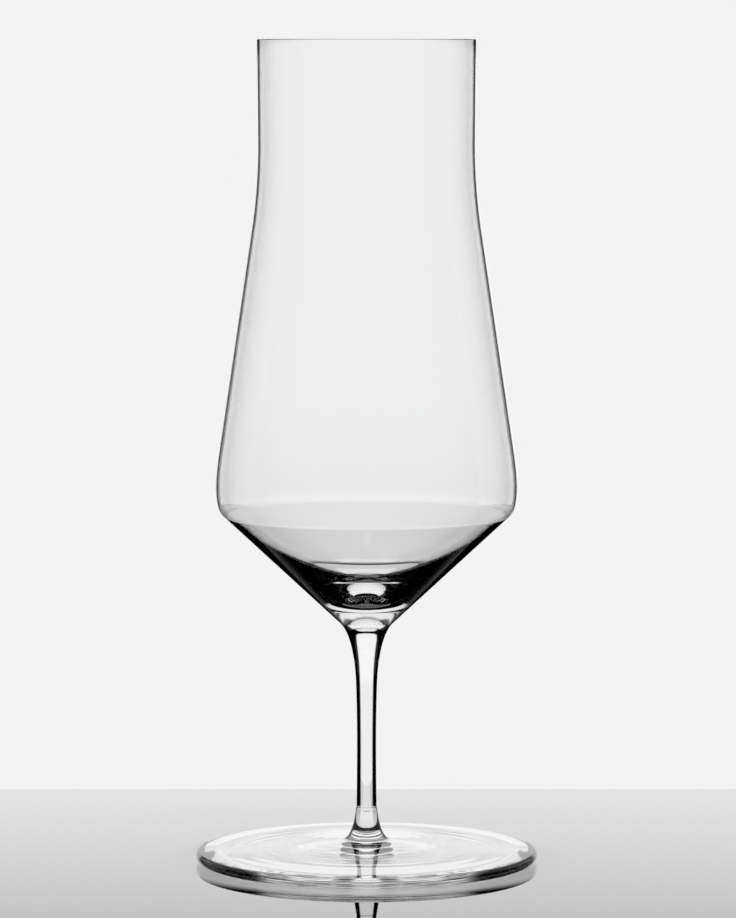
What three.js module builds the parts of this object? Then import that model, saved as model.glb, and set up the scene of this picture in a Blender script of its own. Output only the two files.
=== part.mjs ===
// Tall stemmed whisky glass: a blown bowl, a drawn stem and a spun foot, fused end to end.
// Millimetres, +Z up, origin on the table under the centre of the foot.
import * as THREE from "three";

// Foot: a thin disc on a flat standing ring, hollowed underneath, with a boss drawn up in the middle.
const footRadius = 47.35;
const footEdgeThickness = 3.1;
const footEdgeRounding = 1.8;
const standRingWidth = 4;
const footHollow = 2.2;
const moundRadius = 18;
const moundHeight = 5.3;
const bossRootRadius = 6.9;
const bossRootHeight = 6.1;
const bossCornerRadius = 3.9;
const bossCornerHeight = 6.45;
const bossTopRadius = 2.87;
const footHeight = 15.1;

// Stem: a solid rod, thinnest a little above the foot, flaring at the top to the tip of the bowl.
const stemLength = 51.6;
const stemFootRadius = 2.74;
const stemWaistRadius = 2.6;
const stemWaistRise = 16;
const stemUpperRadius = 2.9;
const stemFlareLength = 18;

// Bowl, outside: a straight cone, a tight shoulder, a leaning flank and an upright chimney.
const coneTipRadius = 7.45;
const coneHeight = 32.9;
const shoulderRadius = 43;
const shoulderBlendUp = 14;
const shoulderBlendDown = 4.3;
const flankHeight = 88.1;
const neckRadius = 29.85;
const neckBlend = 12.5;
const chimneyHeight = 40;
const rimRadius = 30.15;

// Bowl, inside: an even wall above the shoulder, and a cavity that runs down to a dished floor
// over a thick solid base.
const wallThickness = 0.6;
const baseThickness = 7.5;
const floorDish = 1.9;
const floorReach = 15.2;
const floorBlendUp = 24;
const floorBlendIn = 12;
const cavityCornerRise = 0.6;
const cavityShoulderUp = 16;
const cavityShoulderDown = 5;

// Fineness of the turned surfaces.
const bowlSides = 48;
const stemSides = 24;
const footSides = 48;
const curveSteps = 5;

const stemTop = footHeight + stemLength;
const shoulderTop = stemTop + coneHeight;
const neckTop = shoulderTop + flankHeight;
const rimTop = neckTop + chimneyHeight;

const glass = new THREE.MeshStandardMaterial({
  color: 0xf4f7f7,
  roughness: 0.02,
  metalness: 0,
  transparent: true,
  opacity: 0.35,
});

// A line towards a corner of the outline, and the curve that rounds that corner.
function roundCorner(path, before, corner, after, lengthBefore, lengthAfter) {
  const start = before.clone().sub(corner).setLength(lengthBefore).add(corner);
  const end = after.clone().sub(corner).setLength(lengthAfter).add(corner);
  path.lineTo(start.x, start.y);
  path.quadraticCurveTo(corner.x, corner.y, end.x, end.y);
  return end;
}

// A solid turned about the upright axis from a closed half outline of radius and height.
function turned(name, path, sides) {
  const geometry = new THREE.LatheGeometry(path.getPoints(curveSteps), sides);
  geometry.rotateX(Math.PI / 2);
  const mesh = new THREE.Mesh(geometry, glass);
  mesh.name = name;
  return mesh;
}

function footOutline() {
  const ringOuter = footRadius - footEdgeRounding;
  const ringInner = ringOuter - standRingWidth;
  const edgeMiddle = footEdgeThickness / 2;
  const path = new THREE.Path();
  path.moveTo(0, footHollow);
  path.quadraticCurveTo(ringInner / 2, footHollow, ringInner, 0);
  path.lineTo(ringOuter, 0);
  path.quadraticCurveTo(footRadius, 0, footRadius, edgeMiddle);
  path.quadraticCurveTo(footRadius, footEdgeThickness, ringOuter, footEdgeThickness);
  path.lineTo(moundRadius, moundHeight);
  path.lineTo(bossRootRadius, bossRootHeight);
  path.quadraticCurveTo(bossCornerRadius, bossCornerHeight, bossTopRadius, footHeight);
  path.lineTo(0, footHeight);
  return path;
}

function stemOutline() {
  const waistHeight = footHeight + stemWaistRise;
  const flareEnd = stemTop - stemFlareLength;
  const taperLean = (stemUpperRadius - stemWaistRadius) / ((flareEnd - waistHeight) / 2);
  const coneLean = (shoulderRadius - coneTipRadius) / coneHeight;
  const taperTopRadius = stemUpperRadius + taperLean * stemFlareLength;
  const cornerDepth = (coneTipRadius - taperTopRadius) / (coneLean - taperLean);
  const flareCorner = new THREE.Vector2(coneTipRadius - coneLean * cornerDepth, stemTop - cornerDepth);
  const path = new THREE.Path();
  path.moveTo(0, footHeight);
  path.lineTo(stemFootRadius, footHeight);
  path.quadraticCurveTo(stemWaistRadius, (footHeight + waistHeight) / 2, stemWaistRadius, waistHeight);
  path.quadraticCurveTo(stemWaistRadius, (waistHeight + flareEnd) / 2, stemUpperRadius, flareEnd);
  path.quadraticCurveTo(flareCorner.x, flareCorner.y, coneTipRadius, stemTop);
  path.lineTo(0, stemTop);
  return path;
}

function bowlOutline() {
  const tip = new THREE.Vector2(coneTipRadius, stemTop);
  const shoulder = new THREE.Vector2(shoulderRadius, shoulderTop);
  const neck = new THREE.Vector2(neckRadius, neckTop);
  const rim = new THREE.Vector2(rimRadius, rimTop);
  const flankLean = (shoulderRadius - neckRadius) / flankHeight;
  const cavityCorner = shoulder.clone();
  cavityCorner.x -= cavityCornerRise * flankLean + wallThickness;
  cavityCorner.y += cavityCornerRise;
  const cavityNeck = new THREE.Vector2(neckRadius - wallThickness, neckTop);
  const cavityRim = new THREE.Vector2(rimRadius - wallThickness, rimTop);
  const floor = new THREE.Vector2(0, stemTop + baseThickness);
  const floorCorner = new THREE.Vector2(floorReach, floor.y + floorDish);
  const lipRadius = wallThickness / 2;

  const path = new THREE.Path();
  path.moveTo(0, stemTop);
  path.lineTo(tip.x, tip.y);
  roundCorner(path, tip, shoulder, neck, shoulderBlendDown, shoulderBlendUp);
  roundCorner(path, shoulder, neck, rim, neckBlend, neckBlend);
  path.lineTo(rim.x, rim.y - lipRadius);
  path.quadraticCurveTo(rim.x, rim.y, rim.x - lipRadius, rim.y);
  path.quadraticCurveTo(cavityRim.x, rim.y, cavityRim.x, rim.y - lipRadius);
  roundCorner(path, cavityRim, cavityNeck, cavityCorner, neckBlend, neckBlend);
  roundCorner(path, cavityNeck, cavityCorner, floorCorner, cavityShoulderUp, cavityShoulderDown);
  roundCorner(path, cavityCorner, floorCorner, floor, floorBlendUp, floorBlendIn);
  path.lineTo(floor.x, floor.y);
  return path;
}

const whiskyGlass = new THREE.Group();
whiskyGlass.add(turned("foot", footOutline(), footSides));
whiskyGlass.add(turned("stem", stemOutline(), stemSides));
whiskyGlass.add(turned("bowl", bowlOutline(), bowlSides));

export default whiskyGlass;
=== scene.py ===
import math
import bmesh
import bpy
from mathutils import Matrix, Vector


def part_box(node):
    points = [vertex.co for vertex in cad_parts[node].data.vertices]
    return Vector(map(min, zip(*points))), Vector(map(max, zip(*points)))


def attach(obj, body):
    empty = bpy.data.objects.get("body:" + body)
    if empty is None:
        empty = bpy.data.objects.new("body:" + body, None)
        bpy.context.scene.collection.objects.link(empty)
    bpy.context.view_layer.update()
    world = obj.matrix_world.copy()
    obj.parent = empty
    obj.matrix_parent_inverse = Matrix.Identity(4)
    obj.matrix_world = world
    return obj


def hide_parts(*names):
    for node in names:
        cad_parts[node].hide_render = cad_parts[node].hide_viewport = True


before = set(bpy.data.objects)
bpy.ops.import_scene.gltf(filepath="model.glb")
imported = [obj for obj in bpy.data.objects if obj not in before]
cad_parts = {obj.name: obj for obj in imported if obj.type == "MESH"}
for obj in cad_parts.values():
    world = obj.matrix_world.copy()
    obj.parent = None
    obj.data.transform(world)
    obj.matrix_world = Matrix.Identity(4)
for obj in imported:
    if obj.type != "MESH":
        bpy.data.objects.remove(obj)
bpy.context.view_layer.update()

scene = bpy.context.scene
mm = 0.001

# heights that every piece shares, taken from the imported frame
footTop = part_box("foot")[1][2]
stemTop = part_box("stem")[1][2]
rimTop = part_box("bowl")[1][2]
print("frame: foot top %.4f, stem top %.4f, rim %.4f m" % (footTop, stemTop, rimTop))


# outline tools: a half outline is a list of (radius, height)
def curveTo(outline, corner, end, steps):
    start = outline[-1]
    for i in range(1, steps + 1):
        t = i / steps
        a, b, c = (1 - t) ** 2, 2 * t * (1 - t), t ** 2
        outline.append((a * start[0] + b * corner[0] + c * end[0],
                        a * start[1] + b * corner[1] + c * end[1]))


def lineTo(outline, end, steps=1):
    start = outline[-1]
    for i in range(1, steps + 1):
        t = i / steps
        outline.append((start[0] + (end[0] - start[0]) * t, start[1] + (end[1] - start[1]) * t))


def pointTowards(corner, other, length):
    way = Vector(other) - Vector(corner)
    return tuple(Vector(corner) + way.normalized() * length)


def roundCorner(outline, before, corner, after, lengthBefore, lengthAfter, steps, lineSteps=6):
    lineTo(outline, pointTowards(corner, before, lengthBefore), lineSteps)
    curveTo(outline, corner, pointTowards(corner, after, lengthAfter), steps)


# mesh tools
def addObject(name, bm):
    mesh = bpy.data.meshes.new(name)
    bm.to_mesh(mesh)
    bm.free()
    thing = bpy.data.objects.new(name, mesh)
    scene.collection.objects.link(thing)
    return thing


axisReach = 1e-9  # a smaller radius is a point on the axis
seamReach = 1e-6  # faces this close to a seam height lie on the seam
sharpAngle = math.radians(40)


# a closed turned piece; level faces on a seam height take the second material
def turnPiece(name, outline, sides, seamHeights):
    bm = bmesh.new()
    rings = []
    for radius, height in outline:
        if radius < axisReach:
            rings.append([bm.verts.new((0, 0, height))])
            continue
        ring = []
        for i in range(sides):
            angle = 2 * math.pi * i / sides
            ring.append(bm.verts.new((radius * math.cos(angle), radius * math.sin(angle), height)))
        rings.append(ring)
    for low, high in zip(rings, rings[1:]):
        for i in range(sides):
            j = (i + 1) % sides
            corners = [low[i % len(low)], low[j % len(low)], high[j % len(high)], high[i % len(high)]]
            unique = [v for k, v in enumerate(corners) if v not in corners[:k]]
            onSeam = any(all(abs(v.co.z - seam) < seamReach for v in unique) for seam in seamHeights)
            face = bm.faces.new(unique)
            face.material_index = int(onSeam)
            face.smooth = not onSeam
    piece = addObject(name, bm)
    piece.data.set_sharp_from_angle(angle=sharpAngle)
    return piece


# bowl: blown, thin above the shoulder, thick and solid at the base
bowlLook = dict(
    coneTipRadius=7.45 * mm,
    shoulderRadius=43.0 * mm, shoulderHeight=stemTop + 32.9 * mm,
    shoulderBlendUp=14 * mm, shoulderBlendDown=4.3 * mm,
    neckRadius=29.85 * mm, neckHeight=rimTop - 40 * mm, neckBlend=12.5 * mm,
    rimRadius=30.15 * mm,
    wall=0.6 * mm,
    baseHeight=7.5 * mm, floorRise=1.9 * mm, floorReach=15.2 * mm,
    floorBlendUp=24 * mm, floorBlendIn=12 * mm,
    cavityCornerRise=-0.3 * mm, cavityShoulderUp=14 * mm, cavityShoulderDown=4.5 * mm,
    sides=288, tipSteps=3, coneSteps=24, shoulderSteps=40, neckSteps=16, chimneySteps=4, lipSteps=6,
    floorSteps=60,
)


def bowlOutline(look):
    tip = (look["coneTipRadius"], stemTop)
    shoulder = (look["shoulderRadius"], look["shoulderHeight"])
    neck = (look["neckRadius"], look["neckHeight"])
    rim = (look["rimRadius"], rimTop)
    wall = look["wall"]
    lean = (shoulder[0] - neck[0]) / (neck[1] - shoulder[1])
    rise = look["cavityCornerRise"]
    cavityCorner = (shoulder[0] - rise * lean - wall, shoulder[1] + rise)
    cavityNeck = (neck[0] - wall, neck[1])
    cavityRim = (rim[0] - wall, rim[1])
    floor = (0, stemTop + look["baseHeight"])
    floorCorner = (look["floorReach"], floor[1] + look["floorRise"])
    lip = wall / 2

    # outside, from the tip of the cone up to the rim
    outline = [(0, stemTop)]
    lineTo(outline, tip, look["tipSteps"])
    roundCorner(outline, tip, shoulder, neck, look["shoulderBlendDown"], look["shoulderBlendUp"],
                look["shoulderSteps"], look["coneSteps"])
    roundCorner(outline, shoulder, neck, rim, look["neckBlend"], look["neckBlend"], look["neckSteps"])
    lineTo(outline, (rim[0], rim[1] - lip), look["chimneySteps"])
    curveTo(outline, rim, (rim[0] - lip, rim[1]), look["lipSteps"])

    # inside, from the rim down to the floor
    curveTo(outline, cavityRim, (cavityRim[0], rim[1] - lip), look["lipSteps"])
    roundCorner(outline, cavityRim, cavityNeck, cavityCorner, look["neckBlend"], look["neckBlend"],
                look["neckSteps"])
    roundCorner(outline, cavityNeck, cavityCorner, floorCorner,
                look["cavityShoulderUp"], look["cavityShoulderDown"], look["shoulderSteps"])
    roundCorner(outline, cavityCorner, floorCorner, floor, look["floorBlendUp"], look["floorBlendIn"],
                look["floorSteps"])
    lineTo(outline, floor)
    return outline


# stem: a drawn rod, thinnest above the foot
stemLook = dict(
    footRadius=2.81 * mm, waistRadius=2.68 * mm, waistHeight=footTop + 16 * mm,
    upperRadius=2.96 * mm, flareLength=18 * mm,
    sides=160, footSteps=2, rodSteps=12, flareSteps=40, topSteps=3,
)


def stemOutline(look):
    waist = (look["waistRadius"], look["waistHeight"])
    flareEnd = (look["upperRadius"], stemTop - look["flareLength"])
    tipRadius = bowlLook["coneTipRadius"]
    # the flare leaves the rod on its taper and meets the cone on the cone's own line
    taper = (flareEnd[0] - waist[0]) / ((flareEnd[1] - waist[1]) / 2)
    cone = (bowlLook["shoulderRadius"] - tipRadius) / (bowlLook["shoulderHeight"] - stemTop)
    depth = (tipRadius - flareEnd[0] - taper * look["flareLength"]) / (cone - taper)
    flareCorner = (tipRadius - cone * depth, stemTop - depth)
    outline = [(0, footTop)]
    lineTo(outline, (look["footRadius"], footTop), look["footSteps"])
    curveTo(outline, (waist[0], (footTop + waist[1]) / 2), waist, look["rodSteps"])
    curveTo(outline, (waist[0], (waist[1] + flareEnd[1]) / 2), flareEnd, look["rodSteps"])
    curveTo(outline, flareCorner, (tipRadius, stemTop), look["flareSteps"])
    lineTo(outline, (0, stemTop), look["topSteps"])
    return outline


# foot: a thin spun disc with a boss drawn up in the middle
footLook = dict(
    radius=47.35 * mm, edgeTop=3.3 * mm, edgeBottom=1.0 * mm, edgeRounding=1.2 * mm,
    heel=2.6 * mm, ringWidth=4 * mm, hollow=2.2 * mm,
    moundRadius=18 * mm, moundHeight=5.3 * mm,
    rootRadius=6.9 * mm, rootHeight=6.1 * mm,
    bossCorner=(3.9 * mm, 6.45 * mm), bossTopRadius=2.94 * mm, notch=0.3 * mm,
    sides=320, hollowSteps=24, ringSteps=3, heelSteps=24, edgeLowSteps=20, edgeHighSteps=30,
    discSteps=8, moundSteps=6, bossSteps=40, topSteps=2,
)


def footOutline(look):
    radius, low, high = look["radius"], look["edgeBottom"], look["edgeTop"]
    ringOuter = radius - look["heel"]
    ringInner = ringOuter - look["ringWidth"]
    shelf = radius - look["edgeRounding"]
    heelTop = shelf + look["edgeRounding"] / 2
    middle = (low + high) / 2
    # underside, heel and edge
    outline = [(0, look["hollow"])]
    curveTo(outline, (ringInner / 2, look["hollow"]), (ringInner, 0), look["hollowSteps"])
    lineTo(outline, (ringOuter, 0), look["ringSteps"])
    curveTo(outline, (shelf, 0), (heelTop, low), look["heelSteps"])
    curveTo(outline, (radius, low), (radius, middle), look["edgeLowSteps"])
    curveTo(outline, (radius, high), (shelf, high), look["edgeHighSteps"])
    # top, in to the boss and up to the notch under the stem
    lineTo(outline, (look["moundRadius"], look["moundHeight"]), look["discSteps"])
    lineTo(outline, (look["rootRadius"], look["rootHeight"]), look["moundSteps"])
    curveTo(outline, look["bossCorner"], (look["bossTopRadius"], footTop - look["notch"]), look["bossSteps"])
    lineTo(outline, (stemLook["footRadius"], footTop))
    lineTo(outline, (0, footTop), look["topSteps"])
    return outline


# node tools: an input takes a number, a colour or another node's output
def setInputs(tree, node, inputs):
    for name, value in inputs.items():
        if isinstance(value, bpy.types.NodeSocket):
            tree.links.new(value, node.inputs[name])
        else:
            node.inputs[name].default_value = value


def addNode(tree, kind, inputs=None):
    node = tree.nodes.new("ShaderNode" + kind)
    setInputs(tree, node, inputs or {})
    return node


def addMath(tree, operation, *values):
    node = addNode(tree, "Math", dict(enumerate(values)))
    node.operation = operation
    return node.outputs["Value"]


def addProduct(tree, first, *others):
    for other in others:
        first = addMath(tree, "MULTIPLY", first, other)
    return first


def addLength(tree, vector):
    node = addNode(tree, "VectorMath", {0: vector})
    node.operation = "LENGTH"
    return node.outputs["Value"]


# light path counts and flags are whole numbers, so the limit lies half way between two of them
def addFewer(tree, count, number):
    return addMath(tree, "LESS_THAN", count, number - 0.5)


# a smooth change from one level to another while the value goes from end to end
def addStep(tree, value, ends, levels):
    node = addNode(tree, "MapRange", {"Value": value, "From Min": ends[0], "From Max": ends[1],
                                      "To Min": levels[0], "To Max": levels[1]})
    node.interpolation_type = "SMOOTHSTEP"
    return node.outputs["Result"]


def addMix(tree, dataType, share, first, second):
    node = addNode(tree, "Mix")
    node.data_type = dataType
    setInputs(tree, node, {"Factor": share, "A": first, "B": second})
    return node.outputs["Result"]


def addShaderMix(tree, share, first, second):
    return addNode(tree, "MixShader", {"Fac": share, 1: first, 2: second}).outputs["Shader"]


def grey(level):
    return (level, level, level, 1)


def addGlow(tree, level):
    return addNode(tree, "Emission", {"Color": grey(level)}).outputs["Emission"]


def emptyTree(owner):
    owner.use_nodes = True
    owner.node_tree.nodes.clear()
    return owner.node_tree


# faint waves in the fire polish: long cords in the blown and drawn parts, rings where the foot was spun
rippleLook = dict(detail=1, distance=1, clear=(1, 1, 1, 1), tinted=(0.99, 0.995, 0.994, 1))
rippleInputs = {
    "Cord Scale": "cordScale", "Cord Stretch": "cordStretch", "Cord Depth": "cordDepth",
    "Ring Spacing": "ringSpacing", "Ring Depth": "ringDepth",
}


def makeRipple(look):
    tree = bpy.data.node_groups.new("glassRipple", "ShaderNodeTree")
    for name in rippleInputs:
        tree.interface.new_socket(name, in_out="INPUT", socket_type="NodeSocketFloat")
    tree.interface.new_socket("Normal", in_out="OUTPUT", socket_type="NodeSocketVector")
    tree.interface.new_socket("Tint", in_out="OUTPUT", socket_type="NodeSocketColor")
    given = tree.nodes.new("NodeGroupInput").outputs
    result = tree.nodes.new("NodeGroupOutput")
    place = addNode(tree, "TexCoord").outputs["Object"]
    split = addNode(tree, "SeparateXYZ", {"Vector": place}).outputs

    drawn = addMath(tree, "MULTIPLY", split["Z"], given["Cord Stretch"])
    long = addNode(tree, "CombineXYZ", {"X": split["X"], "Y": split["Y"], "Z": drawn}).outputs["Vector"]
    cords = addNode(tree, "TexNoise", {"Vector": long, "Scale": given["Cord Scale"],
                                       "Detail": look["detail"]}).outputs["Fac"]
    flat = addNode(tree, "CombineXYZ", {"X": split["X"], "Y": split["Y"]}).outputs["Vector"]
    turns = addMath(tree, "DIVIDE", addLength(tree, flat), given["Ring Spacing"])
    rings = addMath(tree, "SINE", addMath(tree, "MULTIPLY", turns, 2 * math.pi))
    height = addMath(tree, "ADD", addMath(tree, "MULTIPLY", cords, given["Cord Depth"]),
                     addMath(tree, "MULTIPLY", rings, given["Ring Depth"]))
    bump = addNode(tree, "Bump", {"Height": height, "Distance": look["distance"]}).outputs["Normal"]
    tint = addMix(tree, "RGBA", cords, look["clear"], look["tinted"])
    setInputs(tree, result, {"Normal": bump, "Tint": tint})
    return tree


glassRipple = makeRipple(rippleLook)
clearGlass = dict(roughness=0.0, index=1.52, transmission=1, alpha=1)
bowlGlass = dict(clearGlass, cordScale=45, cordStretch=0.15, cordDepth=6e-6, ringSpacing=0.004, ringDepth=0)
stemGlass = dict(clearGlass, cordScale=220, cordStretch=0.05, cordDepth=2e-6, ringSpacing=0.004, ringDepth=0)
footGlass = dict(clearGlass, cordScale=70, cordStretch=1, cordDepth=6e-6, ringSpacing=0.0045, ringDepth=3e-6)
# level faces where two pieces are fused let light straight on
seamGlass = dict(bowlGlass, alpha=0)


def makeGlass(name, look):
    material = bpy.data.materials.new(name)
    material.use_nodes = True
    tree = material.node_tree
    ripple = addNode(tree, "Group")
    ripple.node_tree = glassRipple
    setInputs(tree, ripple, {socket: look[key] for socket, key in rippleInputs.items()})
    setInputs(tree, tree.nodes["Principled BSDF"], {
        "Base Color": ripple.outputs["Tint"], "Normal": ripple.outputs["Normal"],
        "Roughness": look["roughness"], "IOR": look["index"],
        "Transmission Weight": look["transmission"], "Alpha": look["alpha"],
    })
    return material


fusedSeam = makeGlass("fusedSeam", seamGlass)
pieces = {
    "bowl": (turnPiece("blown_bowl", bowlOutline(bowlLook), bowlLook["sides"], [stemTop]), bowlGlass),
    "stem": (turnPiece("drawn_stem", stemOutline(stemLook), stemLook["sides"], [footTop, stemTop]),
             stemGlass),
    "foot": (turnPiece("spun_foot", footOutline(footLook), footLook["sides"], [footTop]), footGlass),
}
for node, (piece, glass) in pieces.items():
    piece.data.materials.append(makeGlass(node + "Glass", glass))
    piece.data.materials.append(fusedSeam)
    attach(piece, "root")
    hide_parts(node)
print("pieces:", {node: len(piece.data.polygons) for node, (piece, glass) in pieces.items()})


# stage: a polished table with its far edge just behind the glass
# mirror levels and paleOff go by facing, which is 0 looking straight down and 1 along the top
tableLook = dict(
    halfWidth=0.7, front=-1.2, back=0.1284, top=-0.05 * mm, thickness=0.012,
    roughness=0.02, mirror=[(0.40, 0.1), (0.741, 0.35), (0.820, 0.56), (0.845, 0.78), (0.95, 0.88)],
    # lit is a painted glow level: the top as light through the glass sees it, with no shade from the foot
    pale=0.85, lit=0.8, paleOff=(0.79, 0.815), farOff=(0.45, 0.8),
    # the next line bounds the painted glowing strip behind the foot
    glowStripSides=(0.025, 0.03), glowStripFront=(0.06, 0.07),
    # the next line sets the painted ring of glow round the foot: its level, its share and where it fades
    paintedCausticLevel=0.62, paintedRingShare=0.6, paintedRingOff=(0.051, 0.058),
)


def makeTable(look):
    bm = bmesh.new()
    bmesh.ops.create_cube(bm, size=1)
    length = look["back"] - look["front"]
    for v in bm.verts:
        v.co.x *= 2 * look["halfWidth"]
        v.co.y = v.co.y * length + (look["front"] + look["back"]) / 2
        v.co.z = (v.co.z - 0.5) * look["thickness"] + look["top"]
    table = addObject("table", bm)
    material = bpy.data.materials.new("polishedTable")
    tree = emptyTree(material)
    path = addNode(tree, "LightPath").outputs
    facing = addNode(tree, "LayerWeight").outputs["Facing"]
    place = addNode(tree, "TexCoord").outputs["Object"]
    split = addNode(tree, "SeparateXYZ", {"Vector": place}).outputs
    away = addLength(tree, place)

    ramp = addNode(tree, "ValToRGB", {"Fac": facing})
    stops = ramp.color_ramp.elements
    for position, level in look["mirror"][len(stops):]:
        stops.new(position)
    for stop, (position, level) in zip(stops, look["mirror"]):
        stop.position = position
        stop.color = grey(level)
    mirror = addNode(tree, "BsdfGlossy", {"Color": ramp.outputs["Color"], "Roughness": look["roughness"]})

    # the camera, and light straight through the glass, see a pale top where they look down on it or where it
    # is far off;
    # the camera sees it lit and shaded, light through the glass sees a painted glow at the level lit, with no
    # shade from the foot
    pale = addMath(tree, "MAXIMUM", addStep(tree, facing, look["paleOff"], (1, 0)),
                   addStep(tree, away, look["farOff"], (0, 1)))
    # light through the glass also sees a painted glowing strip behind the foot, which shows in the stem as
    # painted light
    paintedGlowStrip = addProduct(tree, addStep(tree, addMath(tree, "ABSOLUTE", split["X"]), look["glowStripSides"], (1, 0)),
                       addStep(tree, split["Y"], look["glowStripFront"], (0, 1)),
                       addMath(tree, "SUBTRACT", 1, path["Is Camera Ray"]))
    shown = addMath(tree, "MULTIPLY", addFewer(tree, path["Glossy Depth"], 1),
                    addMath(tree, "MAXIMUM", pale, paintedGlowStrip))
    plain = addNode(tree, "BsdfDiffuse", {"Color": grey(look["pale"])}).outputs["BSDF"]
    top = addShaderMix(tree, path["Is Camera Ray"], addGlow(tree, look["lit"]), plain)
    surface = addShaderMix(tree, shown, mirror.outputs["BSDF"], top)
    # a painted ring on the table close round the foot, seen by the camera: a fixed glow that stands in for
    # the light the rim of the foot gathers and throws there, painted light where the top mirrors dark and
    # painted shade where the top is paler
    ring = addMath(tree, "MULTIPLY", path["Is Camera Ray"],
                   addStep(tree, away, look["paintedRingOff"], (look["paintedRingShare"], 0)))
    surface = addShaderMix(tree, ring, surface, addGlow(tree, look["paintedCausticLevel"]))
    addNode(tree, "OutputMaterial", {"Surface": surface})
    table.data.materials.append(material)


makeTable(tableLook)
print("stage: table")


# camera at rim height, looking a little down
cameraLook = dict(place=(0.0004, -1.323, 0.2277), tilt=4.992, lens=188.6, sensor=36)


def makeCamera(look):
    data = bpy.data.cameras.new("camera")
    data.lens = look["lens"]
    data.sensor_width = look["sensor"]
    camera = bpy.data.objects.new("camera", data)
    camera.location = look["place"]
    camera.rotation_euler = (math.radians(90 - look["tilt"]), 0, 0)
    scene.collection.objects.link(camera)
    scene.camera = camera


makeCamera(cameraLook)


# light: a plain pale world, with soft panels that only the glass and the table top show
# angles are in degrees; windows and low panels show only in light that goes through
worldLook = dict(background=0.896, plain=1.0, sky=0.9, sheen=0.35, sheenLow=-8)
sideWindow = dict(half=20, soft=4, low=-30, lowSoft=3, high=8, highSoft=2, level=1.0, through=True)
sideLow = dict(half=16, soft=4, low=-38, lowSoft=3, high=-15, highSoft=1, level=0.85, through=True)
softPanels = dict(
    backdrop=dict(azimuth=90, half=27, soft=4, low=-5, lowSoft=1, high=66, highSoft=6,
                  level=1.0, through=False),
    floorGlow=dict(azimuth=90, half=27, soft=4, low=-11.5, lowSoft=1, high=-5, highSoft=1,
                   level=0.93, through=False),
    low=dict(azimuth=90, half=6, soft=2, low=-29.5, lowSoft=2, high=-11.5, highSoft=1,
             level=0.85, through=True),
    leftWindow=dict(sideWindow, azimuth=180),
    rightWindow=dict(sideWindow, azimuth=0),
    leftLow=dict(sideLow, azimuth=135),
    rightLow=dict(sideLow, azimuth=45),
    frontWindow=dict(azimuth=270, half=62, soft=4, low=-38, lowSoft=3, high=8, highSoft=2,
                     level=0.95, through=True),
)


def softEdge(middle, soft):
    return (math.radians(middle - soft), math.radians(middle + soft))


def makeWorld(look, panels):
    world = bpy.data.worlds.new("studio")
    scene.world = world
    world.cycles.sampling_method = "NONE"
    tree = emptyTree(world)
    path = addNode(tree, "LightPath").outputs
    way = addNode(tree, "TexCoord").outputs["Generated"]
    above = addMath(tree, "ARCSINE", addNode(tree, "SeparateXYZ", {"Vector": way}).outputs["Z"])

    # the table top is not quite sharp, which tells light from there apart
    once = addFewer(tree, path["Glossy Depth"], 2)
    fromTable = addMath(tree, "MULTIPLY", addFewer(tree, path["Is Singular Ray"], 1), once)
    # through: not mirrored at all, or last and only by the table
    through = addMath(tree, "MAXIMUM", addFewer(tree, path["Glossy Depth"], 1), fromTable)
    total = 0
    for panel in panels.values():
        turn = addNode(tree, "VectorRotate", {"Vector": way, "Angle": math.radians(-panel["azimuth"])})
        turn.rotation_type = "Z_AXIS"
        split = addNode(tree, "SeparateXYZ", {"Vector": turn.outputs["Vector"]}).outputs
        aside = addMath(tree, "ABSOLUTE", addMath(tree, "ARCTAN2", split["Y"], split["X"]))
        lit = addProduct(tree, addStep(tree, aside, softEdge(panel["half"], panel["soft"]), (1, 0)),
                         addStep(tree, above, softEdge(panel["high"], panel["highSoft"]), (1, 0)),
                         addStep(tree, above, softEdge(panel["low"], panel["lowSoft"]), (0, 1)),
                         panel["level"])
        if panel["through"]:
            lit = addMath(tree, "MULTIPLY", lit, through)
        total = addMath(tree, "ADD", total, lit)

    # a pale sky on every side for the table top, and a fainter one for the outside of the glass
    outside = addMath(tree, "MULTIPLY", once, addFewer(tree, path["Transmission Depth"], 1))
    upward = addMath(tree, "GREATER_THAN", above, math.radians(look["sheenLow"]))
    for where, level in ((fromTable, look["sky"]), (upward, look["sheen"])):
        total = addMath(tree, "MAXIMUM", total, addProduct(tree, outside, where, level))
    seen = addMix(tree, "FLOAT", path["Is Diffuse Ray"], total, look["plain"])
    seen = addMix(tree, "FLOAT", path["Is Camera Ray"], seen, look["background"])
    light = addNode(tree, "Background", {"Color": seen}).outputs["Background"]
    addNode(tree, "OutputWorld", {"Surface": light})


makeWorld(worldLook, softPanels)


# cards out of the camera's sight: dark ones behind the bowl draw the edge of the thin wall,
# pale ones beside it give the wall something to mirror just inside that edge
# the dark ones are clear to light from the table and to light past the slant limit,
# the pale ones to light that has been inside the glass
darkCards = dict(behind=0.15, gap=0.036, reach=0.060, low=0.080, high=0.248, dropLow=0.046,
                 level=0.03, slantLimit=0.22, rows=24)
paleCards = dict(away=0.06, low=0.088, high=0.245, rows=12, columns=6, bands=[
    dict(first=33, last=50, level=1.0),
    dict(first=50, last=68, level=1.0),
    dict(first=68, last=90, level=1.0),
    dict(first=90, last=112, level=0.8),
])
cardSides = ((-1, "left"), (1, "right"))
cardWidest = 0.0416  # the cards follow the bowl up to this radius


def spread(first, last, steps):
    return [first + (last - first) * i / steps for i in range(steps + 1)]


def bowlRadius(height):
    low, high = bowlLook["shoulderHeight"], bowlLook["neckHeight"]
    share = min(1, max(0, (height - low) / (high - low)))
    lean = bowlLook["neckRadius"] - bowlLook["shoulderRadius"]
    return min(cardWidest, bowlLook["shoulderRadius"] + share * lean)


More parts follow.
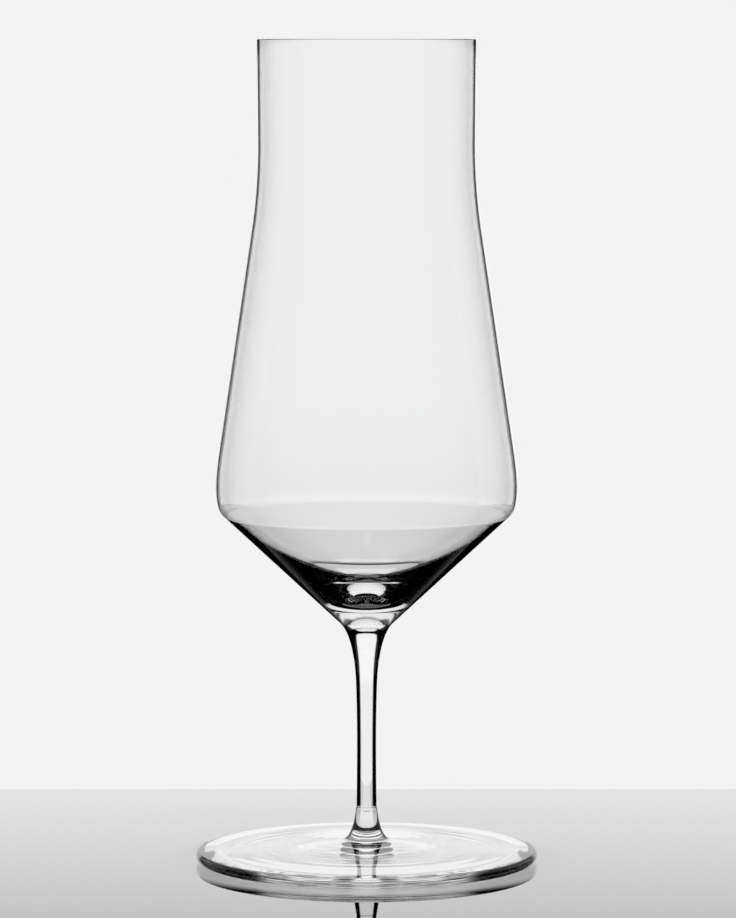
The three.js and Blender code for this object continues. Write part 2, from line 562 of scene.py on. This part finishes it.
def makeCard(name, rows, level, slantLimit=None):
    bm = bmesh.new()
    grid = [[bm.verts.new(c) for c in row] for row in rows]
    for low, high in zip(grid, grid[1:]):
        for i in range(len(low) - 1):
            bm.faces.new((low[i], low[i + 1], high[i + 1], high[i]))
    card = addObject(name, bm)
    material = bpy.data.materials.new(name)
    tree = emptyTree(material)
    path = addNode(tree, "LightPath").outputs
    if slantLimit is None:
        shown = addFewer(tree, path["Transmission Depth"], 1)
    else:
        facing = addNode(tree, "LayerWeight").outputs["Facing"]
        fromTable = addFewer(tree, path["Is Singular Ray"], 1)
        slanting = addMath(tree, "GREATER_THAN", facing, slantLimit)
        shown = addMath(tree, "SUBTRACT", 1, addMath(tree, "MAXIMUM", slanting, fromTable))
    clear = addNode(tree, "BsdfTransparent").outputs["BSDF"]
    addNode(tree, "OutputMaterial", {"Surface": addShaderMix(tree, shown, clear, addGlow(tree, level))})
    card.data.materials.append(material)
    card.visible_camera = False
    card.visible_diffuse = False
    card.visible_shadow = False


def makeDarkCards(look, eye):
    behind = look["behind"]
    for side, word in cardSides:
        rows = []
        for height in spread(look["low"], look["high"], look["rows"]):
            # the inner edge keeps the same distance from the bowl as the camera sees it
            beside = height + behind * (eye[2] - height) / -eye[1]
            inner = bowlRadius(beside) + look["gap"]
            rows.append([(side * x, behind, height) for x in (inner, inner + look["reach"])])
        makeCard("dark_card_" + word, rows, look["level"], look["slantLimit"])
        # a straight drop below, beside the cone
        inner = bowlRadius(look["low"]) + look["gap"]
        rows = [[(side * x, behind, height) for x in (inner, inner + look["reach"])]
                for height in (look["dropLow"], look["low"])]
        makeCard("dark_drop_" + word, rows, look["level"], look["slantLimit"])


def makePaleCards(look):
    away = look["away"]
    for side, word in cardSides:
        for band in look["bands"]:
            turns = [math.radians(turn) for turn in spread(band["first"], band["last"], look["columns"])]
            rows = [[(side * (bowlRadius(height) + away * math.sin(turn)), away * math.cos(turn), height)
                     for turn in turns] for height in spread(look["low"], look["high"], look["rows"])]
            makeCard("pale_card_%d_%s" % (band["first"], word), rows, band["level"])


makeDarkCards(darkCards, cameraLook["place"])
makePaleCards(paleCards)
print("light: %d soft panels, dark and pale cards" % len(softPanels))


# enough bounces for light to find its way out of the thick base
bounces = 40
scene.view_settings.view_transform = "Standard"
scene.cycles.max_bounces = bounces
scene.cycles.transmission_bounces = bounces
scene.cycles.glossy_bounces = bounces
scene.cycles.transparent_max_bounces = bounces
scene.cycles.blur_glossy = 0
